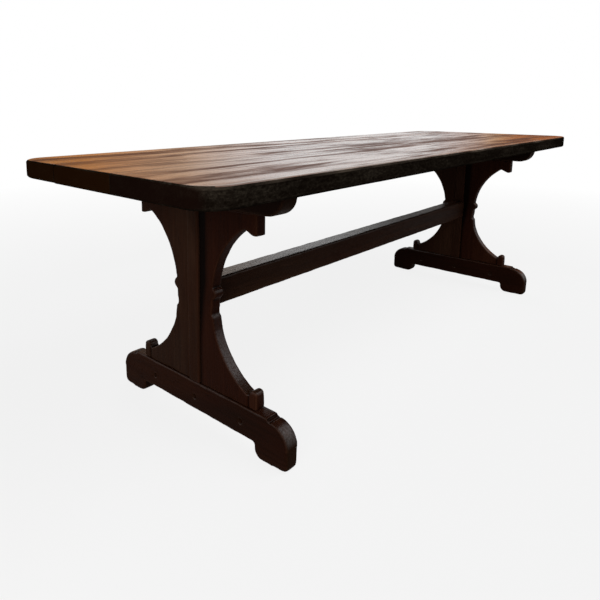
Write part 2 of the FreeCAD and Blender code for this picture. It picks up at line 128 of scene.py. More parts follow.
def emptyMaterial(name):
    material = bpy.data.materials.new(name)
    material.use_nodes = True
    material.node_tree.nodes.clear()
    return material


# the turn that brings the grain of a board onto the pattern's own X
grainTurns = {"X": (0, 0, 0), "Y": (0, 0, -math.pi / 2), "Z": (0, math.pi / 2, 0)}

# what all oak shares: how fine the patterns are along and across the grain, and where each starts and ends
oakGrain = {
    "endFacing": (0.72, 0.9),        # how far a face looks along the grain before it shows end grain
    "wander": (0.55, 2.6, 2.6),      # slow drift of the rings
    "waver": (2.4, 30, 30),          # small ripple of the rings
    "waverDepth": 0.004,
    "openShare": 0.45,               # the open, porous part of a ring
    "bandDrift": 0.35,
    "pores": (16, 420, 420),
    "poreCut": (0.56, 0.68),
    "latePores": 0.35,               # pores left in the dense part of a ring
    "fibres": (5, 130, 130),
    "fibreTone": 0.09,
    "stops": (0.30, 0.50, 0.70),     # dark, middle and light stain
    "blotchCut": (0.42, 0.72),
    "ringDepth": 0.4,                # depth of the open part, over the height of the fibres
    "endPores": 0.5,
    "endShare": 0.85,
    "endRough": 0.15,
    "rubCut": (0.35, 0.65),          # fibres that keep or lose their stain on a rubbed arris
    "rubLeast": 0.5,
    "glossSwing": 0.5,
    "glossSpan": 0.8,
}
edgeSpeckle = {"size": (90, 190, 190), "smear": (3, 14, 30), "smearTone": 0.16, "stops": (0.42, 0.58, 0.80),
               "height": 0.0006}
handPolish = {"flatFrom": (0.80, 0.98), "dustScale": 190.0, "dustCut": (0.36, 0.58), "dustLeast": 0.45,
              "arrisDull": 0.7}
# ragged edge of the painted shadow strip beside the post, and where it narrows below the stretcher
soot = {"ragged": 0.016, "narrowLevels": (0.27, 0.44), "narrowBy": 0.022}


def growWood(tree, look):
    # sockets for where a spot lies in its board and what the wood is like there
    place = addNode(tree, "ShaderNodeTexCoord").outputs
    turn = grainTurns[look["grain"]]
    board = addNode(tree, "ShaderNodeMapping",
                    {"Vector": place["Object"], "Rotation": turn, "Location": look["heart"]}).outputs[0]
    facing = addNode(tree, "ShaderNodeMapping", {"Vector": place["Normal"], "Rotation": turn},
                     vector_type="VECTOR").outputs[0]
    along = mathNode(tree, "ABSOLUTE", splitVector(tree, facing)[0])
    wood = {"spot": place["Object"], "board": board}
    wood["x"], wood["y"], wood["z"] = splitVector(tree, place["Object"])
    wood["up"] = splitVector(tree, place["Normal"])[2]
    wood["endGrain"] = rangeNode(tree, along, *oakGrain["endFacing"])
    wood["worn"] = addNode(tree, "ShaderNodeAttribute", attribute_name="edgeWear").outputs["Fac"]
    wood["sunk"] = addNode(tree, "ShaderNodeAttribute", attribute_name="recess").outputs["Fac"]

    # growth rings: distance from the heart of the log, wandering along the board
    boardX, boardY, boardZ = splitVector(tree, board)
    wander = grainNoise(tree, board, oakGrain["wander"], detail=3.0, rough=0.55)
    waver = grainNoise(tree, board, oakGrain["waver"], detail=3.0, rough=0.6)
    across = addNode(tree, "ShaderNodeCombineXYZ", {1: boardY, 2: boardZ}).outputs[0]
    reach = vectorNode(tree, "LENGTH", across)["Value"]
    reach = mathNode(tree, "ADD", reach, mathNode(tree, "MULTIPLY", wander, look["wander"]))
    reach = mathNode(tree, "ADD", reach, mathNode(tree, "MULTIPLY", waver, oakGrain["waverDepth"]))
    ring = mathNode(tree, "FRACT", mathNode(tree, "MULTIPLY", reach, 1 / look["ringWidth"]))
    wood["open"] = rangeNode(tree, ring, 0.0, oakGrain["openShare"], 1.0, 0.0)
    bandPlace = addNode(tree, "ShaderNodeCombineXYZ",
                        {0: mathNode(tree, "MULTIPLY", reach, look["bands"]),
                         1: mathNode(tree, "MULTIPLY", boardX, oakGrain["bandDrift"])}).outputs[0]
    wood["band"] = noiseNode(tree, bandPlace, 1.0, detail=5.0, rough=0.6)

    # pores are short dark lines along the grain, mostly in the open part of a ring
    pore = rangeNode(tree, grainNoise(tree, board, oakGrain["pores"], detail=2.0), *oakGrain["poreCut"])
    inOpen = rangeNode(tree, wood["open"], 0.0, 1.0, oakGrain["latePores"], 1.0)
    wood["pore"] = mathNode(tree, "MULTIPLY", pore, inOpen)
    wood["fibre"] = grainNoise(tree, board, oakGrain["fibres"], detail=4.0, rough=0.65)
    wood["patch"] = grainNoise(tree, board, look["patchSize"], detail=4.0, rough=0.6)
    return wood


def stainWood(tree, look, wood):
    tone = mathNode(tree, "ADD", wood["band"], swing(tree, wood["fibre"], oakGrain["fibreTone"]))
    stains = (look["dark"], look["middle"], look["light"])
    colour = rampNode(tree, tone, list(zip(oakGrain["stops"], stains)))
    shade = rangeNode(tree, wood["open"], 0.0, 1.0, 0.0, look["ringShade"])
    colour = mixColour(tree, shade, colour, look["dark"])
    blotch = rangeNode(tree, wood["patch"], *oakGrain["blotchCut"], 0.0, look["patches"])
    colour = mixColour(tree, blotch, colour, look["patchTone"])
    filled = mathNode(tree, "MULTIPLY", wood["pore"], look["pores"])
    return mixColour(tree, filled, colour, look["poreTone"])


def raiseGrain(tree, look, wood):
    # relief of the bare wood, in metres
    height = mathNode(tree, "MULTIPLY", wood["fibre"], look["fibreHeight"])
    height = mathNode(tree, "SUBTRACT", height, mathNode(tree, "MULTIPLY", wood["pore"], look["poreDepth"]))
    hollow = mathNode(tree, "MULTIPLY", wood["open"], look["fibreHeight"] * oakGrain["ringDepth"])
    return mathNode(tree, "SUBTRACT", height, hollow)


def streakPolish(tree, look, wood, colour, height):
    # long streaks along the planks, where the polish lies thick or has been rubbed away
    streaks = look["streaks"]
    broad = grainNoise(tree, wood["board"], streaks["broad"], detail=3.0, rough=0.6)
    thin = grainNoise(tree, wood["board"], streaks["thin"], detail=5.0, rough=0.7)
    streak = mathNode(tree, "ADD", rangeNode(tree, broad, *streaks["broadCut"], 0.0, 0.5),
                      rangeNode(tree, thin, *streaks["thinCut"], 0.0, 0.5))
    rubbed = rangeNode(tree, wood["patch"], *streaks["rubCut"], 0.0, streaks["rubbed"])
    streak = mathNode(tree, "SUBTRACT", streak, rubbed)
    # the stain darkens where the polish is thin: partly dull wood, partly a painted darkening of the streaks
    # between the reflections
    dull = rangeNode(tree, streak, 0.0, streaks["dullBelow"], streaks["dull"], 0.0)
    colour = mixColour(tree, dull, colour, look["patchTone"])
    coat = rangeNode(tree, streak, *streaks["coatCut"], *streaks["coat"])
    coat = mathNode(tree, "MAXIMUM", coat, wood["worn"])
    height = mathNode(tree, "ADD", height, mathNode(tree, "MULTIPLY", broad, streaks["sway"]))
    return colour, coat, height


def speckleEdge(tree, look, wood, height):
    # rough sawn edge, blotched and speckled with old polish
    speck = grainNoise(tree, wood["board"], edgeSpeckle["size"], detail=5.0, rough=0.75)
    smear = grainNoise(tree, wood["board"], edgeSpeckle["smear"], detail=4.0, rough=0.6)
    speck = mathNode(tree, "ADD", speck, swing(tree, smear, edgeSpeckle["smearTone"]))
    colour = rampNode(tree, speck, list(zip(edgeSpeckle["stops"], look["speckle"])))
    height = mathNode(tree, "ADD", height, mathNode(tree, "MULTIPLY", speck, edgeSpeckle["height"]))
    return colour, height


def polishUpperFaces(tree, look, wood):
    # faces that look up are rubbed bright by hands, feet and dusters
    start, end, share = look["upPolish"]
    coat = rangeNode(tree, wood["up"], start, end, 0.0, share)
    flat = rangeNode(tree, wood["up"], *handPolish["flatFrom"], 1.0, look["flatPolish"])
    coat = mathNode(tree, "MULTIPLY", coat, flat)
    dust = noiseNode(tree, wood["spot"], handPolish["dustScale"], detail=3.0, rough=0.6)
    dusty = rangeNode(tree, dust, *handPolish["dustCut"], handPolish["dustLeast"], 1.0)
    coat = mathNode(tree, "MULTIPLY", coat, dusty)
    # sharp arrises and recesses have lost or never taken the polish
    arris = mathNode(tree, "MULTIPLY", wood["worn"], handPolish["arrisDull"])
    bare = mathNode(tree, "ADD", wood["sunk"], arris)
    coat = mathNode(tree, "MULTIPLY", coat, mathNode(tree, "SUBTRACT", 1.0, bare, clamp=True))
    if "dullEnd" in look:
        # the coat, and with it the sheen, fades out towards the right end: a painted fall-off of the
        # window's reflection, which reaches only the near part
        start, end, left = look["dullEnd"]
        coat = mathNode(tree, "MULTIPLY", coat, rangeNode(tree, wood["x"], start, end, 1.0, left))
    return coat


def wearColour(tree, look, wood, colour):
    # dark end grain, rubbed arrises with some painted highlight, and grime with painted shade in the
    # recesses
    endPores = mathNode(tree, "MULTIPLY", wood["open"], oakGrain["endPores"])
    endTone = mixColour(tree, endPores, look["endTone"], look["poreTone"])
    endShare = mathNode(tree, "MULTIPLY", wood["endGrain"], oakGrain["endShare"])
    colour = mixColour(tree, endShare, colour, endTone)
    # rubbed arrises are lightened: wear, and on the top's rim and on one arris of the post also a painted
    # highlight
    rub = rangeNode(tree, wood["fibre"], *oakGrain["rubCut"], oakGrain["rubLeast"], 1.0)
    rub = mathNode(tree, "MULTIPLY", wood["worn"], rub)
    rub = mathNode(tree, "MULTIPLY", rub, wood["worn"])
    rub = mathNode(tree, "MULTIPLY", rub, look["wornShare"])
    if "wornSide" in look:
        # only the arris on one side is rubbed, and carries a painted highlight there
        rub = mathNode(tree, "MULTIPLY", rub, rangeNode(tree, wood["y"], *look["wornSide"]))
    colour = mixColour(tree, rub, colour, look["wornTone"])
    # recesses, grooves and joints go towards a near-black: grime, and painted shade where shade would fall
    grime = mathNode(tree, "MULTIPLY", wood["sunk"], look["grimeShare"])
    return mixColour(tree, grime, colour, look["grimeTone"])


def smokeStrip(tree, look, wood, colour):
    # painted shadow of the proud post, cast on the front cheek beside it, in a strip that is narrow below
    # the stretcher and wide above it
    start, end, share = look["smoke"]
    ragged = mathNode(tree, "MULTIPLY", mathNode(tree, "SUBTRACT", wood["fibre"], 0.5), soot["ragged"])
    narrow = rangeNode(tree, wood["z"], *soot["narrowLevels"], -soot["narrowBy"], 0.0)
    edge = mathNode(tree, "ADD", wood["y"], mathNode(tree, "ADD", ragged, narrow))
    return mixColour(tree, rangeNode(tree, edge, end, start, 0.0, share), colour, look["grimeTone"])


def makeOak(name, look):
    material = emptyMaterial(name)
    tree = material.node_tree
    wood = growWood(tree, look)
    colour = stainWood(tree, look, wood)
    height = raiseGrain(tree, look, wood)
    coat = 0.0
    if "streaks" in look:
        colour, coat, height = streakPolish(tree, look, wood, colour, height)
    if "speckle" in look:
        colour, height = speckleEdge(tree, look, wood, height)
    if "upPolish" in look:
        coat = polishUpperFaces(tree, look, wood)
    colour = wearColour(tree, look, wood, colour)
    if "smoke" in look:
        colour = smokeStrip(tree, look, wood, colour)
    gloss = mathNode(tree, "ADD", swing(tree, wood["patch"], oakGrain["glossSwing"]),
                     swing(tree, wood["band"], oakGrain["glossSwing"]))
    rough = rangeNode(tree, gloss, -oakGrain["glossSpan"], oakGrain["glossSpan"], *look["gloss"])
    rough = mathNode(tree, "ADD", rough, mathNode(tree, "MULTIPLY", wood["endGrain"], oakGrain["endRough"]))
    bump = addNode(tree, "ShaderNodeBump", {"Height": height, "Strength": 1.0, "Distance": 1.0}).outputs[0]
    shader = addNode(tree, "ShaderNodeBsdfPrincipled",
                     {"Base Color": colour, "Roughness": rough, "Normal": bump, "Coat Normal": bump,
                      "Coat Weight": coat, "Coat Roughness": look["coatRough"],
                      "Specular IOR Level": look["specular"], "Coat IOR": look.get("coatIndex", 1.5)})
    addNode(tree, "ShaderNodeOutputMaterial", {"Surface": shader.outputs[0]})
    return material


plankLook = {
    "grain": "X", "heart": (0.0, 0.03, -0.60), "wander": 0.09, "ringWidth": 0.0042, "bands": 34,
    "dark": stain(66, 33, 17), "middle": stain(118, 68, 34), "light": stain(168, 106, 60),
    "patchTone": stain(60, 30, 19), "patches": 0.6, "patchSize": (3.2, 12, 12), "ringShade": 0.34,
    "pores": 0.75, "grimeTone": stain(10, 6, 4), "grimeShare": 0.8,
    "fibreHeight": 0.00012, "poreDepth": 0.00014,
}
topLook = {
    **plankLook,
    "poreTone": stain(24, 13, 8), "endTone": stain(30, 17, 9),
    "wornTone": stain(186, 170, 156), "wornShare": 0.6,
    "gloss": (0.36, 0.56), "specular": 0.06, "coatRough": 0.15,
    "streaks": {"broad": (0.8, 13, 13), "broadCut": (0.40, 0.58),
                "thin": (2.4, 40, 40), "thinCut": (0.40, 0.60),
                "coat": (0.02, 1.0), "coatCut": (0.08, 0.72), "dull": 0.7, "dullBelow": 0.8,
                "rubbed": 0.45, "rubCut": (0.44, 0.66), "sway": 0.0009},
}
edgeLook = {
    **plankLook,
    "poreTone": stain(14, 7, 3), "endTone": stain(33, 16, 4),
    "wornTone": stain(112, 98, 86), "wornShare": 0.45,
    "gloss": (0.5, 0.7), "specular": 0.0, "coatRough": 0.3,
    "speckle": (stain(17, 12, 8), stain(30, 25, 20), stain(54, 48, 40)),
}
trestleLook = {
    "grain": "Z", "heart": (0.0, 0.02, 0.25), "wander": 0.12, "ringWidth": 0.0062, "bands": 26,
    "dark": stain(29, 17, 11), "middle": stain(44, 27, 18), "light": stain(58, 37, 26),
    "patchTone": stain(40, 17, 9), "patches": 0.55, "patchSize": (3, 9, 9), "ringShade": 0.16,
    "poreTone": stain(12, 5, 3), "pores": 0.6,
    "endTone": stain(32, 18, 9), "wornTone": stain(98, 66, 48), "wornShare": 0.14,
    "grimeTone": stain(4, 1, 0), "grimeShare": 0.9,
    "gloss": (0.45, 0.62), "specular": 0.012, "coatRough": 0.26,
    "fibreHeight": 0.00022, "poreDepth": 0.00026,
    "upPolish": (0.12, 0.75, 0.92), "flatPolish": 0.36, "coatIndex": 1.75,
}
frontHeart = (5.1, 0.26, -0.52)

# the planks differ in stain, and the back plank's lighter stain is partly a painted sheen
oakBackPlank = makeOak("oak_back_plank", {
    **topLook, "middle": stain(112, 66, 35), "light": stain(158, 101, 60)})
oakMiddlePlank = makeOak("oak_middle_plank", {
    **topLook, "heart": (2.7, -0.06, -0.34), "middle": stain(104, 59, 31), "light": stain(136, 84, 50)})
oakFrontPlank = makeOak("oak_front_plank", {
    **topLook, "heart": frontHeart, "middle": stain(92, 53, 31), "light": stain(128, 81, 51)})
oakBackEdge = makeOak("oak_back_edge", edgeLook)
oakFrontEdge = makeOak("oak_front_edge", {**edgeLook, "heart": frontHeart, "endTone": stain(21, 10, 7)})
oakUpright = makeOak("oak_upright", trestleLook)
# the post's front arris is lightened: rub wear and a painted highlight on that lit edge
oakPost = makeOak("oak_post", {
    **trestleLook, "wornSide": (0.004, -0.012), "wornTone": stain(104, 48, 32), "wornShare": 0.09})
# the front cheek carries the painted shadow of the proud post beside it
oakFrontCheek = makeOak("oak_front_cheek", {
    **trestleLook, "heart": (0.8, 0.12, 0.22), "smoke": (-0.045, -0.061, 0.97),
    "dark": stain(26, 11, 6), "middle": stain(40, 18, 10), "light": stain(54, 29, 18)})
oakFoot = makeOak("oak_foot", {
    **trestleLook, "grain": "Y", "heart": (0.4, 0.1, -0.2),
    "dark": stain(21, 9, 4), "middle": stain(33, 15, 8), "light": stain(46, 24, 14)})
# the bearers get a darker stain: painted shade for their place in the shadow under the top
oakBearer = makeOak("oak_bearer", {
    **trestleLook, "grain": "Y", "heart": (2.4, 0.2, -0.3),
    "dark": stain(16, 8, 4), "middle": stain(26, 13, 7), "light": stain(36, 22, 13)})
oakRail = makeOak("oak_rail", {
    **trestleLook, "grain": "X", "heart": (1.3, 0.05, -0.62), "endTone": stain(44, 26, 14),
    "upPolish": (0.12, 0.75, 1.0), "flatPolish": 1.0, "dullEnd": (-0.28, 0.22, 0.25)})
oakPeg = makeOak("oak_peg", {
    **trestleLook, "grain": "X", "heart": (0.2, 0.0, -0.1), "ringWidth": 0.0018, "upPolish": (0.1, 0.6, 0.0),
    "middle": stain(34, 18, 10), "light": stain(44, 26, 16), "endTone": stain(33, 17, 9)})
print("oak materials ready")

steelLook = {"tone": stain(150, 146, 138), "rust": stain(82, 58, 42),
             "rustScale": 160.0, "rustCut": (0.5, 0.72),
             "brushing": (900, 900, 120), "gloss": (0.32, 0.52), "metal": 0.9,
             "scratch": 0.0004, "scratchShare": 0.2}


def makeSteel(name):
    material = bpy.data.materials.new(name)
    material.use_nodes = True
    tree = material.node_tree
    shader = tree.nodes["Principled BSDF"]
    place = addNode(tree, "ShaderNodeTexCoord").outputs["Object"]
    brush = grainNoise(tree, place, steelLook["brushing"], detail=3.0)
    rust = noiseNode(tree, place, steelLook["rustScale"], detail=5.0, rough=0.65)
    rusty = rangeNode(tree, rust, *steelLook["rustCut"])
    bump = addNode(tree, "ShaderNodeBump",
                   {"Height": brush, "Strength": steelLook["scratchShare"],
                    "Distance": steelLook["scratch"]}).outputs[0]
    tree.links.new(mixColour(tree, rusty, steelLook["tone"], steelLook["rust"]), shader.inputs["Base Color"])
    tree.links.new(rangeNode(tree, brush, *noiseSpan, *steelLook["gloss"]), shader.inputs["Roughness"])
    tree.links.new(bump, shader.inputs["Normal"])
    shader.inputs["Metallic"].default_value = steelLook["metal"]
    return material


dullSteel = makeSteel("dull_steel")


def newPiece(name, mesh, materials, replaced):
    piece = bpy.data.objects.new(name, mesh)
    scene.collection.objects.link(piece)
    indices = [polygon.material_index for polygon in mesh.polygons]
    mesh.materials.clear()
    for material in materials:
        mesh.materials.append(material)
    mesh.polygons.foreach_set("material_index", indices)
    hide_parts(*replaced)
    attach(piece, "root")
    return piece


plankShape = {
    "cornerRadius": 0.072,   # rounded corners of the top, seen from above
    "cornerTurns": (90, 76, 62, 48, 34, 20, 8),
    "rimRound": 0.008,       # round on the upper and lower edges
    "seamEase": 0.0013,      # small ease along the joints
    "seamGrime": 0.6,        # how dark the joints are with old polish
    "gridStep": 0.016,
    "edgeRow": 0.004,        # first row of points inside the long edges
    "rimSteps": 4,
    "sideLevels": (0.04, 0.14, 0.28, 0.43, 0.57, 0.72, 0.86, 0.96),
    "rimWear": 0.0022,       # how far the rim is rubbed in
    "rubWaves": (7, 31),     # broad and fine wear along the rim
    "fineRub": 0.6,
    "wornWaves": 12,
    "wornFall": 0.7,
    "upperWorn": (1.0, 0.6),  # bright wear and painted highlight on the upper and the lower arris, even and in patches
    "lowerWorn": (0.35, 0.3),
    "jointBelow": 0.6,       # an edge with less round than this share of the rim is a joint
    "seamWear": 0.25,        # share of the wear that is left at the joints
    "seamRub": 0.3,
    "sideRough": 0.0008,
    "roughWaves": (38, 52),
    "hollow": 0.0006,        # shallow unevenness of the face
    "hollowWaves": (0.8, 13),
    "flatEdge": 0.010,       # the unevenness fades in over this much from the long edges and the ends
    "flatEnd": 0.025,
    "polishedRim": 0.010,    # bright rubbed strip with a painted highlight along the outer edges of the face
    "endTaper": 0.001,       # how much thinner the back plank is at its ends
    "taperFrom": 0.98,
    "taperRun": 0.12,
    "chip": {"spot": (-1.22, 0.185), "size": 0.009, "depth": 0.005},
}
seedStride = 7.31
hollowSlice, rubSlice, wornSlice, fineSlice = 0, 3, 5, 9  # levels of the noise, so that the patterns differ


def wobble(x, y, z, seed):
    return noise.noise(Vector((x, y, z + seed * seedStride)))


def unevenness(x, y, z, seed):
    return 0.5 + 0.5 * wobble(x, y, z, seed)


def planPlank(nodeName, outer, seed):
    # the grid of a plank: columns along it and round its corners, rows across it
    low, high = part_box(nodeName)
    radius = plankShape["cornerRadius"]
    turned = radius - plankShape["rimRound"]
    straight = high.x - radius
    arc = [math.radians(turn) for turn in plankShape["cornerTurns"]]
    count = round(2 * straight / plankShape["gridStep"])
    columns = [(-1, -straight - turned * math.sin(angle), angle) for angle in arc]
    columns += [(0, straight * (2 * i / count - 1), 0.0) for i in range(count + 1)]
    columns += [(1, straight + turned * math.sin(angle), angle) for angle in reversed(arc)]
    width = high.y - low.y
    rowCount = round(width / plankShape["gridStep"])
    near = plankShape["edgeRow"] / width
    rows = [0.0, near] + [i / rowCount for i in range(1, rowCount)] + [1 - near, 1.0]
    return {"low": low, "high": high, "width": width, "outer": outer, "seed": seed,
            "columns": columns, "rows": rows, "lastColumn": len(columns) - 1, "lastRow": len(rows) - 1}


def sideLine(plan, side, column):
    # y of one long side at a column, and the way out of it
    sign, angle = column[0], column[2]
    edge = plan["high"].y if side > 0 else plan["low"].y
    if side != plan["outer"]:
        seam = plankShape["seamEase"]
        return edge - side * seam, Vector((0, side * seam, 0))
    radius, rim = plankShape["cornerRadius"], plankShape["rimRound"]
    out = Vector((sign * math.sin(angle), side * math.cos(angle), 0)) * rim
    return edge - side * radius + side * (radius - rim) * math.cos(angle), out


def underside(plan, x):
    # the back plank thins out towards its ends
    taper = plankShape["endTaper"] if plan["outer"] == 1 else 0.0
    share = (abs(x) - plankShape["taperFrom"]) / plankShape["taperRun"]
    return plan["low"].z + taper * min(1.0, max(0.0, share))


def chipped(x, y):
    chip = plankShape["chip"]
    away = (x - chip["spot"][0]) ** 2 + (y - chip["spot"][1]) ** 2
    return chip["depth"] * math.exp(-away / chip["size"] ** 2)


def wayOut(plan, i, j):
    # from a point on the edge of the face out to the side of the plank
    column, outer = plan["columns"][i], plan["outer"]
    out = Vector((0, 0, 0))
    if j in (0, plan["lastRow"]):
        out += sideLine(plan, 1 if j == 0 else -1, column)[1]
    atOuter = (j == 0 and outer == 1) or (j == plan["lastRow"] and outer == -1)
    if i in (0, plan["lastColumn"]) and not atOuter:
        out += Vector((column[0] * plankShape["rimRound"], 0, 0))
    return out


def faceGrid(plan, shaped, layers, face):
    # points of the upper face (1) or the lower face (-1)
    shape, high, width, outer = plankShape, plan["high"], plan["width"], plan["outer"]
    waveX, waveY = shape["hollowWaves"]
    grid = []
    for column in plan["columns"]:
        x = column[1]
        back = sideLine(plan, 1, column)[0]
        front = sideLine(plan, -1, column)[0]
        line = []
        for t in plan["rows"]:
            y = back + (front - back) * t
            fromEdge = min(t, 1 - t) * width / shape["flatEdge"]
            inside = min(1.0, fromEdge, (high.x - abs(x)) / shape["flatEnd"])
            sink = shape["hollow"] * inside * unevenness(x * waveX, y * waveY, hollowSlice, plan["seed"])
            spot = shaped.verts.new((x, y, high.z - sink if face > 0 else underside(plan, x) + sink))
            fromRim = {1: t * width, -1: (1 - t) * width, 0: 1.0}[outer]
            spot[layers["worn"]] = max(0.0, 1 - fromRim / shape["polishedRim"]) if face > 0 else 0.0
            atJoint = (t == 0.0 and outer != 1) or (t == 1.0 and outer != -1)
            spot[layers["sunk"]] = shape["seamGrime"] if atJoint else 0.0
            line.append(spot)
        grid.append(line)
    return grid


def rimLevels():
    # from the upper face down the side to the lower face: part, share of the way out, share of the way down
    turns = [math.pi / 2 * step / plankShape["rimSteps"] for step in range(1, plankShape["rimSteps"] + 1)]
    levels = [("upper", math.sin(turn), 1 - math.cos(turn)) for turn in turns]
    levels += [("side", 1.0, drop) for drop in plankShape["sideLevels"]]
    levels += [("lower", math.sin(turn), 1 - math.cos(turn)) for turn in reversed(turns)]
    return levels


def rimPoint(plan, shaped, layers, start, out, level):
    part, share, drop = level
    shape, high, seed = plankShape, plan["high"], plan["seed"]
    depth = out.length
    way = out.normalized()
    atSeam = depth < shape["rimRound"] * shape["jointBelow"]
    x, y = start.x, start.y
    broad, fine = shape["rubWaves"]
    rub = max(0.0, wobble(x * broad, y * broad, rubSlice, seed))
    rub += max(0.0, wobble(x * fine, y * fine, fineSlice, seed)) * shape["fineRub"]
    wear = shape["rimWear"] * rub * (shape["seamWear"] if atSeam else 1.0)
    if part == "upper":
        wear += chipped(x, y)
    if part == "side":
        z = high.z - depth - (high.z - underside(plan, x) - 2 * depth) * drop
        flat, tall = shape["roughWaves"]
        shift = 0.0 if atSeam else shape["sideRough"] * unevenness(x * flat, y * flat, z * tall, seed)
        worn = 0.0
    else:
        shift = wear * (math.sin(math.pi * min(1.0, share)) * 0.5 + 0.5)
        fall = depth * drop + wear * (1 - drop) * share * shape["wornFall"]
        z = high.z - fall if part == "upper" else underside(plan, x) + fall
        even, patchy = shape["upperWorn"] if part == "upper" else shape["lowerWorn"]
        worn = unevenness(x * shape["wornWaves"], y * shape["wornWaves"], wornSlice, seed)
        worn = min(1.0, worn * even + rub * patchy) * abs(way.y)
    spot = start + way * (depth * share - shift)
    vertex = shaped.verts.new((spot.x, spot.y, z))
    vertex[layers["worn"]] = worn * (shape["seamRub"] if atSeam else 1.0)
    vertex[layers["sunk"]] = shape["seamGrime"] if atSeam else 0.0
    return vertex


def makePlank(nodeName, outer, seed, materials):
    plan = planPlank(nodeName, outer, seed)
    shaped = bmesh.new()
    floats = shaped.verts.layers.float
    layers = {"worn": floats.new("edgeWear"), "sunk": floats.new("recess")}
    top = faceGrid(plan, shaped, layers, 1)
    bottom = faceGrid(plan, shaped, layers, -1)
    lastColumn, lastRow = plan["lastColumn"], plan["lastRow"]
    rimPath = [(0, j) for j in range(lastRow)] + [(i, lastRow) for i in range(lastColumn)]
    rimPath += [(lastColumn, j) for j in range(lastRow, 0, -1)] + [(i, 0) for i in range(lastColumn, 0, -1)]
    ways = [wayOut(plan, i, j) for i, j in rimPath]
    rim = [top[i][j] for i, j in rimPath]
    loops = [rim]
    for level in rimLevels():
        loops.append([rimPoint(plan, shaped, layers, start.co, out, level) for start, out in zip(rim, ways)])
    loops.append([bottom[i][j] for i, j in rimPath])

    for grid, flip in ((top, False), (bottom, True)):
        for i in range(lastColumn):
            for j in range(lastRow):
                corners = [grid[i][j], grid[i][j + 1], grid[i + 1][j + 1], grid[i + 1][j]]
                shaped.faces.new(corners[::-1] if flip else corners).material_index = 1 if flip else 0
    for band, (upper, lower) in enumerate(zip(loops, loops[1:])):
        for k, out in enumerate(ways):
            n = (k + 1) % len(rimPath)
            side = shaped.faces.new((upper[k], lower[k], lower[n], upper[n]))
            # the polish goes less far round the arris at the ends than along the sides
            polishedBands = 1 if abs(out.x) > abs(out.y) else 2
            side.material_index = 0 if band < polishedBands else 1
    bmesh.ops.recalc_face_normals(shaped, faces=shaped.faces)
    for face in shaped.faces:
        face.smooth = True
    mesh = bpy.data.meshes.new(nodeName + "_worn")
    shaped.to_mesh(mesh)
    shaped.free()
    return newPiece(nodeName + "_worn", mesh, materials, [nodeName])


# outer is the side with the rounded edge: 1 for the back, -1 for the front, 0 for neither
makePlank("plank_back", 1, 1, [oakBackPlank, oakBackEdge])
makePlank("plank_middle", 0, 2, [oakMiddlePlank, oakBackEdge])
makePlank("plank_front", -1, 3, [oakFrontPlank, oakFrontEdge])
print("planks shaped")


def addSockets(tree, sockets):
    for name, kind, value in sockets:
        socket = tree.interface.new_socket(name, in_out="INPUT", socket_type="NodeSocket" + kind)
        if value is not None:
            socket.default_value = value
    tree.interface.new_socket("Geometry", in_out="OUTPUT", socket_type="NodeSocketGeometry")


def setInputs(modifier, values):
    for item in modifier.node_group.interface.items_tree:
        if item.item_type == "SOCKET" and item.in_out == "INPUT" and item.name in values:
            modifier[item.identifier] = values[item.name]


def blurNode(tree, value, rounds, weight=None):
    inputs = {"Value": value, "Iterations": rounds}
    if weight is not None:
        inputs["Weight"] = weight
    return addNode(tree, "GeometryNodeBlurAttribute", inputs, data_type="FLOAT_VECTOR").outputs[0]


def keepValue(tree, geometry, name, value):
    inputs = {"Geometry": geometry, "Name": name, "Value": value}
    node = addNode(tree, "GeometryNodeStoreNamedAttribute", inputs, data_type="FLOAT", domain="POINT")
    return node.outputs[0]


def movePoints(tree, geometry, **move):
    return addNode(tree, "GeometryNodeSetPosition", {"Geometry": geometry, **move}).outputs[0]


def unevenNoise(tree, spot, seed, scale, detail):
    inputs = {"Vector": spot, "W": seed, "Scale": scale, "Detail": detail}
    return addNode(tree, "ShaderNodeTexNoise", inputs, noise_dimensions="4D").outputs["Fac"]


def finishTree(tree, geometry, material):
    whole = addNode(tree, "GeometryNodeRealizeInstances", {"Geometry": geometry})
    dressed = addNode(tree, "GeometryNodeSetMaterial", {"Geometry": whole.outputs[0], "Material": material})
    addNode(tree, "NodeGroupOutput", {0: dressed.outputs[0]})


handWear = {"zoneFade": 0.006, "edgeRounds": 5, "rubScale": 22.0, "rubCut": (0.42, 0.68)}


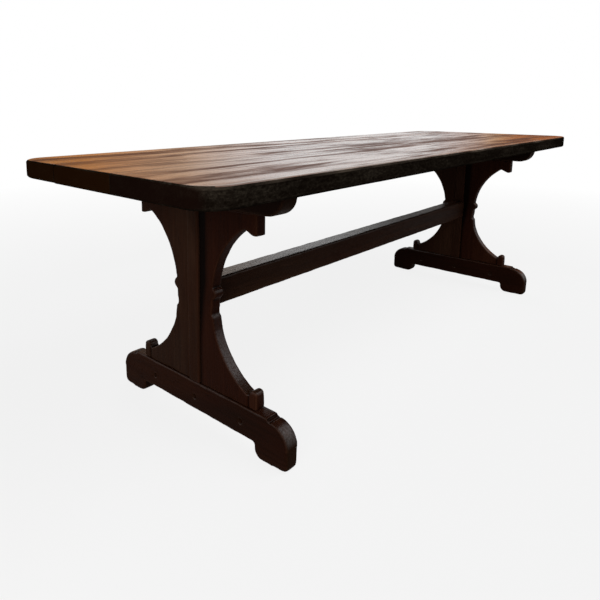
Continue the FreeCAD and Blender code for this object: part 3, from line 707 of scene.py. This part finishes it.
def makeHandWorn():
    # rubs the arrises round, dents the faces a little and keeps where edges and corners are
    tree = bpy.data.node_groups.new("handWorn", "GeometryNodeTree")
    addSockets(tree, [("Geometry", "Geometry", None), ("smoothing", "Int", 3), ("dent", "Float", 0.0006),
                      ("dentScale", "Float", 30.0), ("wear", "Float", 0.001), ("edgeGain", "Float", 900.0),
                      ("softLow", "Vector", None), ("softHigh", "Vector", None), ("softRounds", "Int", 0),
                      ("seed", "Float", 1.0), ("finish", "Material", None)])
    take = addNode(tree, "NodeGroupInput").outputs
    spot = addNode(tree, "GeometryNodeInputPosition").outputs[0]
    way = addNode(tree, "GeometryNodeInputNormal").outputs[0]
    rounded = movePoints(tree, take["Geometry"], Position=blurNode(tree, spot, take["smoothing"]))

    # inside the soft zone, given for one quarter of the table, the wood is rubbed much rounder
    quarter = vectorNode(tree, "ABSOLUTE", spot)[0]
    above = vectorNode(tree, "SUBTRACT", quarter, take["softLow"])[0]
    under = vectorNode(tree, "SUBTRACT", take["softHigh"], quarter)[0]
    roomX, roomY, roomZ = splitVector(tree, vectorNode(tree, "MINIMUM", above, under)[0])
    room = mathNode(tree, "MINIMUM", roomX, mathNode(tree, "MINIMUM", roomY, roomZ))
    inZone = rangeNode(tree, room, 0.0, handWear["zoneFade"])
    rounded = movePoints(tree, rounded, Position=blurNode(tree, spot, take["softRounds"], inZone))

    # edges stand out from their surroundings, inner corners lie below them
    away = vectorNode(tree, "SUBTRACT", spot, blurNode(tree, spot, handWear["edgeRounds"]))[0]
    bulge = mathNode(tree, "MULTIPLY", vectorNode(tree, "DOT_PRODUCT", away, way)["Value"], take["edgeGain"])
    kept = keepValue(tree, rounded, "edgeWear", mathNode(tree, "MULTIPLY", bulge, 1.0, clamp=True))
    # inner corners are marked as recesses, which the stain darkens with grime and painted shade
    kept = keepValue(tree, kept, "recess", mathNode(tree, "MULTIPLY", bulge, -1.0, clamp=True))

    dents = unevenNoise(tree, spot, take["seed"], take["dentScale"], 3.0)
    rubs = unevenNoise(tree, spot, take["seed"], handWear["rubScale"], 2.0)
    edge = addNode(tree, "GeometryNodeInputNamedAttribute", {"Name": "edgeWear"},
                   data_type="FLOAT").outputs[0]
    rubbed = mathNode(tree, "MULTIPLY", rangeNode(tree, rubs, *handWear["rubCut"]), take["wear"])
    rubbed = mathNode(tree, "MULTIPLY", rubbed, edge)
    inward = mathNode(tree, "ADD", mathNode(tree, "MULTIPLY", dents, take["dent"]), rubbed)
    push = addNode(tree, "ShaderNodeVectorMath",
                   {0: way, "Scale": mathNode(tree, "MULTIPLY", inward, -1.0)}, operation="SCALE").outputs[0]
    finishTree(tree, movePoints(tree, kept, Offset=push), take["finish"])
    return tree


handWorn = makeHandWorn()


def bakePiece(worker):
    graph = bpy.context.evaluated_depsgraph_get()
    mesh = bpy.data.meshes.new_from_object(worker.evaluated_get(graph))
    bpy.data.objects.remove(worker)
    return mesh


scoring = {"facing": 0.3, "endFade": 0.004}


def scoreLines(mesh, lines):
    # cuts narrow grooves into a finished mesh and marks them as recesses, which the stain darkens with grime
    # and painted shade
    count = len(mesh.vertices)
    spots = numpy.empty(count * 3, dtype=numpy.float32)
    ways = numpy.empty(count * 3, dtype=numpy.float32)
    sunk = numpy.empty(count, dtype=numpy.float32)
    mesh.vertices.foreach_get("co", spots)
    mesh.vertices.foreach_get("normal", ways)
    mesh.attributes["recess"].data.foreach_get("value", sunk)
    spots, ways = spots.reshape(-1, 3), ways.reshape(-1, 3)
    for line in lines:
        facing = numpy.abs(ways[:, 0]) if line["face"] == "side" else ways[:, 2]
        groove = numpy.exp(-((numpy.abs(spots[:, 1]) - line["reach"]) / line["width"]) ** 2)
        groove *= numpy.clip((facing - scoring["facing"]) / scoring["facing"], 0, 1)
        groove *= numpy.clip((spots[:, 2] - line["low"]) / scoring["endFade"], 0, 1)
        groove *= numpy.clip((line["high"] - spots[:, 2]) / scoring["endFade"], 0, 1)
        spots -= ways * (groove * line["depth"])[:, None]
        sunk = numpy.maximum(sunk, groove * line["dark"])
    mesh.vertices.foreach_set("co", spots.ravel())
    mesh.attributes["recess"].data.foreach_set("value", sunk)
    mesh.update()


trestleWood = {"weld": 1e-6, "voxel": 0.0024,
               "wear": {"smoothing": 3, "dent": 0.0008, "dentScale": 26.0, "wear": 0.0012,
                        "edgeGain": 1500.0}}


def wearNode(nodeName, material, seed, carving):
    mesh = cadNodes[nodeName].data.copy()
    joined = bmesh.new()
    joined.from_mesh(mesh)
    bmesh.ops.remove_doubles(joined, verts=joined.verts, dist=trestleWood["weld"])
    joined.to_mesh(mesh)
    joined.free()
    worker = bpy.data.objects.new(nodeName + "_blank", mesh)
    scene.collection.objects.link(worker)
    remesh = worker.modifiers.new("voxels", "REMESH")
    remesh.mode = "VOXEL"
    remesh.voxel_size = trestleWood["voxel"]
    remesh.use_smooth_shade = True
    worn = worker.modifiers.new("handWorn", "NODES")
    worn.node_group = handWorn
    setInputs(worn, {**trestleWood["wear"], **carving["soft"], "seed": seed, "finish": material})
    shaped = bakePiece(worker)
    shaped.name = nodeName + "_worn"
    if carving["lines"]:
        scoreLines(shaped, carving["lines"])
    piece = newPiece(nodeName + "_worn", shaped, [material], [nodeName])
    print(piece.name, len(shaped.polygons), "faces")


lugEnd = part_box("cheek_left_back")[1].y
# the dark value of a groove darkens the stain in it: painted shade in the groove
lugGroove = {"face": "side", "width": 0.0028, "low": 0.124, "high": 0.161, "depth": 0.0035, "dark": 0.9}
cheekCarving = {
    # tip of the lug, and the groove that parts the lug from the board
    "soft": {"softLow": (0.86, lugEnd - 0.029, 0.158), "softHigh": (0.95, lugEnd + 0.006, 0.193),
             "softRounds": 5},
    "lines": [{**lugGroove, "reach": lugEnd - 0.0295}],
}
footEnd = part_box("foot_left")[1].y
scoredLine = {"face": "top", "width": 0.0023, "low": 0.10, "high": 0.14, "depth": 0.0020, "dark": 1.0}
footCarving = {
    # worn lower corners of the pads, and the two scored lines above the nose
    "soft": {"softLow": (0.86, footEnd - 0.051, -0.02), "softHigh": (0.95, footEnd + 0.014, 0.06),
             "softRounds": 16},
    "lines": [{**scoredLine, "reach": footEnd - 0.0670}, {**scoredLine, "reach": footEnd - 0.0585}],
}
plain = {"soft": {}, "lines": []}
trestlePieces = [("foot_{}", oakFoot, footCarving), ("bearer_{}", oakBearer, plain),
                 ("post_{}", oakPost, plain),
                 ("cheek_{}_back", oakUpright, cheekCarving),
                 ("cheek_{}_front", oakFrontCheek, cheekCarving)]
seedStep = 1.7

seed = 1.0
for side in ("left", "right"):
    for pattern, material, carving in trestlePieces:
        wearNode(pattern.format(side), material, seed, carving)
        seed += seedStep
wearNode("stretcher", oakRail, seed, plain)

pegs = {"radius": 0.0062, "sides": 8, "dome": 0.0016, "tip": 0.6, "count": 3, "seed": 5, "weld": 0.00005}


def makePegRow():
    # a row of hand-cut pegs with domed ends, each turned at random
    tree = bpy.data.node_groups.new("pegRow", "GeometryNodeTree")
    addSockets(tree, [("count", "Int", 3), ("first", "Vector", None), ("step", "Vector", None),
                      ("radius", "Float", 0.006), ("length", "Float", 0.05), ("dome", "Float", 0.0015),
                      ("sides", "Int", 8), ("seed", "Int", 1), ("finish", "Material", None)])
    take = addNode(tree, "NodeGroupInput").outputs
    row = addNode(tree, "GeometryNodeMeshLine",
                  {"Count": take["count"], "Start Location": take["first"], "Offset": take["step"]},
                  mode="OFFSET")
    shaftLength = mathNode(tree, "SUBTRACT", take["length"], mathNode(tree, "MULTIPLY", take["dome"], 2.0))
    shaft = addNode(tree, "GeometryNodeMeshCylinder",
                    {"Vertices": take["sides"], "Radius": take["radius"], "Depth": shaftLength},
                    fill_type="NONE")
    tipRadius = mathNode(tree, "MULTIPLY", take["radius"], pegs["tip"])
    tip = addNode(tree, "GeometryNodeMeshCone",
                  {"Vertices": take["sides"], "Side Segments": 1, "Radius Bottom": take["radius"],
                   "Radius Top": tipRadius, "Depth": take["dome"]}, fill_type="TRIANGLE_FAN")
    lift = addNode(tree, "ShaderNodeCombineXYZ", {2: mathNode(tree, "MULTIPLY", shaftLength, 0.5)})
    upper = addNode(tree, "GeometryNodeTransform",
                    {"Geometry": tip.outputs[0], "Translation": lift.outputs[0]})
    lower = addNode(tree, "GeometryNodeTransform",
                    {"Geometry": upper.outputs[0], "Rotation": (math.pi, 0, 0)})
    body = addNode(tree, "GeometryNodeJoinGeometry")
    for piece in (shaft, upper, lower):
        tree.links.new(piece.outputs[0], body.inputs[0])
    closed = addNode(tree, "GeometryNodeMergeByDistance",
                     {"Geometry": body.outputs[0], "Distance": pegs["weld"]})
    laid = addNode(tree, "GeometryNodeTransform",
                   {"Geometry": closed.outputs[0], "Rotation": (0, math.pi / 2, 0)})
    spin = addNode(tree, "FunctionNodeRandomValue", {2: 0.0, 3: math.pi, "Seed": take["seed"]},
                   data_type="FLOAT")
    turned = addNode(tree, "ShaderNodeCombineXYZ", {0: spin.outputs[1]})
    placed = addNode(tree, "GeometryNodeInstanceOnPoints",
                     {"Points": row.outputs[0], "Instance": laid.outputs[0], "Rotation": turned.outputs[0]})
    finishTree(tree, placed.outputs[0], take["finish"])
    return tree


pegRow = makePegRow()


def makePegs(nodeName, seed):
    low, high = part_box(nodeName)
    middle = (low + high) / 2
    pitch = (high.y - low.y - 2 * pegs["radius"]) / (pegs["count"] - 1)
    worker = bpy.data.objects.new(nodeName + "_row", bpy.data.meshes.new(nodeName + "_row"))
    scene.collection.objects.link(worker)
    rowNodes = worker.modifiers.new("pegRow", "NODES")
    rowNodes.node_group = pegRow
    setInputs(rowNodes, {"count": pegs["count"], "first": (middle.x, low.y + pegs["radius"], middle.z),
                         "step": (0.0, pitch, 0.0), "radius": pegs["radius"], "length": high.x - low.x,
                         "dome": pegs["dome"], "sides": pegs["sides"], "seed": seed, "finish": oakPeg})
    mesh = bakePiece(worker)
    mesh.name = nodeName + "_cut"
    newPiece(nodeName + "_cut", mesh, [oakPeg], [nodeName])


pegNodes = ("foot_pegs_left", "bearer_pegs_left", "foot_pegs_right", "bearer_pegs_right")
for offset, nodeName in enumerate(pegNodes):
    makePegs(nodeName, pegs["seed"] + offset)
print("pegs cut")


def dressNode(nodeName, material):
    # a CAD node that stays as it is, with a better finish
    slots = cadNodes[nodeName].data.materials
    slots.clear()
    slots.append(material)


for nodeName in ("tongue_back", "tongue_front"):
    dressNode(nodeName, oakPeg)
for nodeName in ("top_screws_left", "top_screws_right"):
    dressNode(nodeName, dullSteel)

white = (1, 1, 1, 1)
stageSet = {
    "floorSize": 60.0,
    "floorDrop": 0.0006,     # the floor lies just under the feet
    "floorTone": 0.42,
    "whiteShare": 0.85,      # how white the floor looks near the table
    "fade": (1.6, 5.0),      # from here to there it goes over into the white of the room
    "ambient": 0.07,
    "ambientTone": (1.0, 0.97, 0.93, 1),
}


def whiteRays(tree):
    # camera, mirror and see-through rays meet the white studio, light bounces don't
    path = addNode(tree, "ShaderNodeLightPath").outputs
    seen = mathNode(tree, "MAXIMUM", path["Is Camera Ray"], path["Is Glossy Ray"])
    return mathNode(tree, "MAXIMUM", seen, path["Is Transmission Ray"])


def makeFloor():
    size, tone = stageSet["floorSize"], stageSet["floorTone"]
    corners = [(-size, -size, 0), (size, -size, 0), (size, size, 0), (-size, size, 0)]
    mesh = bpy.data.meshes.new("studio_floor")
    mesh.from_pydata(corners, [], [(0, 1, 2, 3)])
    floor = bpy.data.objects.new("studio_floor", mesh)
    scene.collection.objects.link(floor)
    floor.location.z = -stageSet["floorDrop"]
    material = emptyMaterial("studio_floor")
    tree = material.node_tree
    place = addNode(tree, "ShaderNodeTexCoord").outputs["Object"]
    away = vectorNode(tree, "LENGTH", place)["Value"]
    far = rangeNode(tree, away, *stageSet["fade"], stageSet["whiteShare"], 1.0)
    lit = addNode(tree, "ShaderNodeBsdfDiffuse", {"Color": (tone, tone, tone, 1)})
    glow = addNode(tree, "ShaderNodeEmission", {"Color": white, "Strength": 1.0})
    share = mathNode(tree, "MULTIPLY", whiteRays(tree), far)
    mixed = addNode(tree, "ShaderNodeMixShader", {0: share, 1: lit.outputs[0], 2: glow.outputs[0]})
    addNode(tree, "ShaderNodeOutputMaterial", {"Surface": mixed.outputs[0]})
    mesh.materials.append(material)


def makeWorld():
    world = bpy.data.worlds.new("studio")
    scene.world = world
    world.use_nodes = True
    tree = world.node_tree
    tree.nodes.clear()
    dim = addNode(tree, "ShaderNodeBackground",
                  {"Color": stageSet["ambientTone"], "Strength": stageSet["ambient"]})
    bright = addNode(tree, "ShaderNodeBackground", {"Color": white, "Strength": 1.0})
    mixed = addNode(tree, "ShaderNodeMixShader",
                    {0: whiteRays(tree), 1: dim.outputs[0], 2: bright.outputs[0]})
    addNode(tree, "ShaderNodeOutputWorld", {"Surface": mixed.outputs[0]})


makeFloor()
makeWorld()

lamps = {
    "window_back": {"spot": (2.4, 3.6, 2.8), "aim": (0.0, 0.0, 0.6), "size": (3.0, 2.0),
                    "power": 70, "tone": (1.0, 1.0, 1.0)},
    "overhead": {"spot": (0.8, -1.9, 3.7), "aim": (0.1, -0.1, 0.4), "size": (3.2, 1.8),
                 "power": 110, "tone": (0.97, 0.99, 1.0)},
    "side_fill": {"spot": (-3.0, -1.0, 1.35), "aim": (-0.9, 0.0, 0.3), "size": (1.3, 1.1),
                  "power": 36, "tone": (1.0, 0.98, 0.96)},
}


def makeLamp(name, lamp):
    light = bpy.data.lights.new(name, "AREA")
    light.shape = "RECTANGLE"
    light.size, light.size_y = lamp["size"]
    light.energy = lamp["power"]
    light.color = lamp["tone"]
    holder = bpy.data.objects.new(name, light)
    scene.collection.objects.link(holder)
    holder.location = lamp["spot"]
    holder.rotation_euler = (Vector(lamp["aim"]) - Vector(lamp["spot"])).to_track_quat("-Z", "Y").to_euler()
    holder.visible_camera = False
    holder.visible_glossy = False


for name, lamp in lamps.items():
    makeLamp(name, lamp)

# tinted boards that only the polish sees, with the pale edge towards the middle of the room
cards = {
    "warm_card_left": {"inner": 40, "outer": 80, "top": 4.5,
                       "tones": [(0.0, stain(255, 253, 253)), (0.14, stain(232, 220, 212)),
                                 (0.26, stain(222, 188, 158)), (0.50, stain(206, 142, 84))]},
    "warm_card_right": {"inner": 24, "outer": -6, "top": 3.5,
                        "tones": [(0.0, stain(246, 242, 242)), (0.12, stain(214, 190, 176)),
                                  (0.17, stain(214, 172, 132)), (0.23, stain(186, 118, 72)),
                                  (0.40, stain(168, 98, 54))]},
}
cardPlace = {"centre": Vector((-1.86, -1.09, 0.0)), "away": 9.0, "bottom": 0.2}


def makeCard(name, card):
    ends = []
    for turn in (math.radians(card["inner"]), math.radians(card["outer"])):
        ends.append(cardPlace["centre"] + Vector((math.cos(turn), math.sin(turn), 0)) * cardPlace["away"])
    inner, outer = ends
    low, high = cardPlace["bottom"], card["top"]
    corners = [(inner.x, inner.y, low), (outer.x, outer.y, low),
               (outer.x, outer.y, high), (inner.x, inner.y, high)]
    mesh = bpy.data.meshes.new(name)
    mesh.from_pydata(corners, [], [(0, 1, 2, 3)])
    layer = mesh.uv_layers.new(name="across")
    for corner, spot in zip(layer.data, ((0, 0), (1, 0), (1, 1), (0, 1))):
        corner.uv = spot
    board = bpy.data.objects.new(name, mesh)
    scene.collection.objects.link(board)
    material = emptyMaterial(name)
    tree = material.node_tree
    across = splitVector(tree, addNode(tree, "ShaderNodeTexCoord").outputs["UV"])[0]
    tone = rampNode(tree, across, card["tones"])
    glow = addNode(tree, "ShaderNodeEmission", {"Color": tone, "Strength": 1.0})
    addNode(tree, "ShaderNodeOutputMaterial", {"Surface": glow.outputs[0]})
    mesh.materials.append(material)
    board.visible_camera = False
    board.visible_diffuse = False
    board.visible_shadow = False


for name, card in cards.items():
    makeCard(name, card)

# focal length and middle in pixels of a square frame, turns in radians
photoCamera = {"focal": 547.612, "middle": (250.0, 202.0), "spot": (-1.88121, -1.11508, 0.91020),
               "yaw": 0.7527, "pitch": 0.17631, "roll": -0.00382, "frame": 600, "sensor": 36, "sight": 200}


def makeCamera():
    look = photoCamera
    data = bpy.data.cameras.new("photo_camera")
    data.sensor_fit = "HORIZONTAL"
    data.sensor_width = look["sensor"]
    data.lens = look["focal"] * look["sensor"] / look["frame"]
    data.shift_x = 0.5 - look["middle"][0] / look["frame"]
    data.shift_y = look["middle"][1] / look["frame"] - 0.5
    data.clip_end = look["sight"]
    camera = bpy.data.objects.new("photo_camera", data)
    scene.collection.objects.link(camera)
    yaw, pitch, roll = look["yaw"], look["pitch"], look["roll"]
    ahead = Vector((math.cos(yaw) * math.cos(pitch), math.sin(yaw) * math.cos(pitch), -math.sin(pitch)))
    right = Vector((math.sin(yaw), -math.cos(yaw), 0))
    down = ahead.cross(right)
    rightTurned = right * math.cos(roll) + down * math.sin(roll)
    downTurned = down * math.cos(roll) - right * math.sin(roll)
    axes = Matrix((rightTurned, -downTurned, -ahead)).transposed()
    camera.matrix_world = Matrix.Translation(Vector(look["spot"])) @ axes.to_4x4()
    scene.camera = camera


makeCamera()
scene.view_settings.view_transform = "Standard"
print("stage, lamps and camera ready")
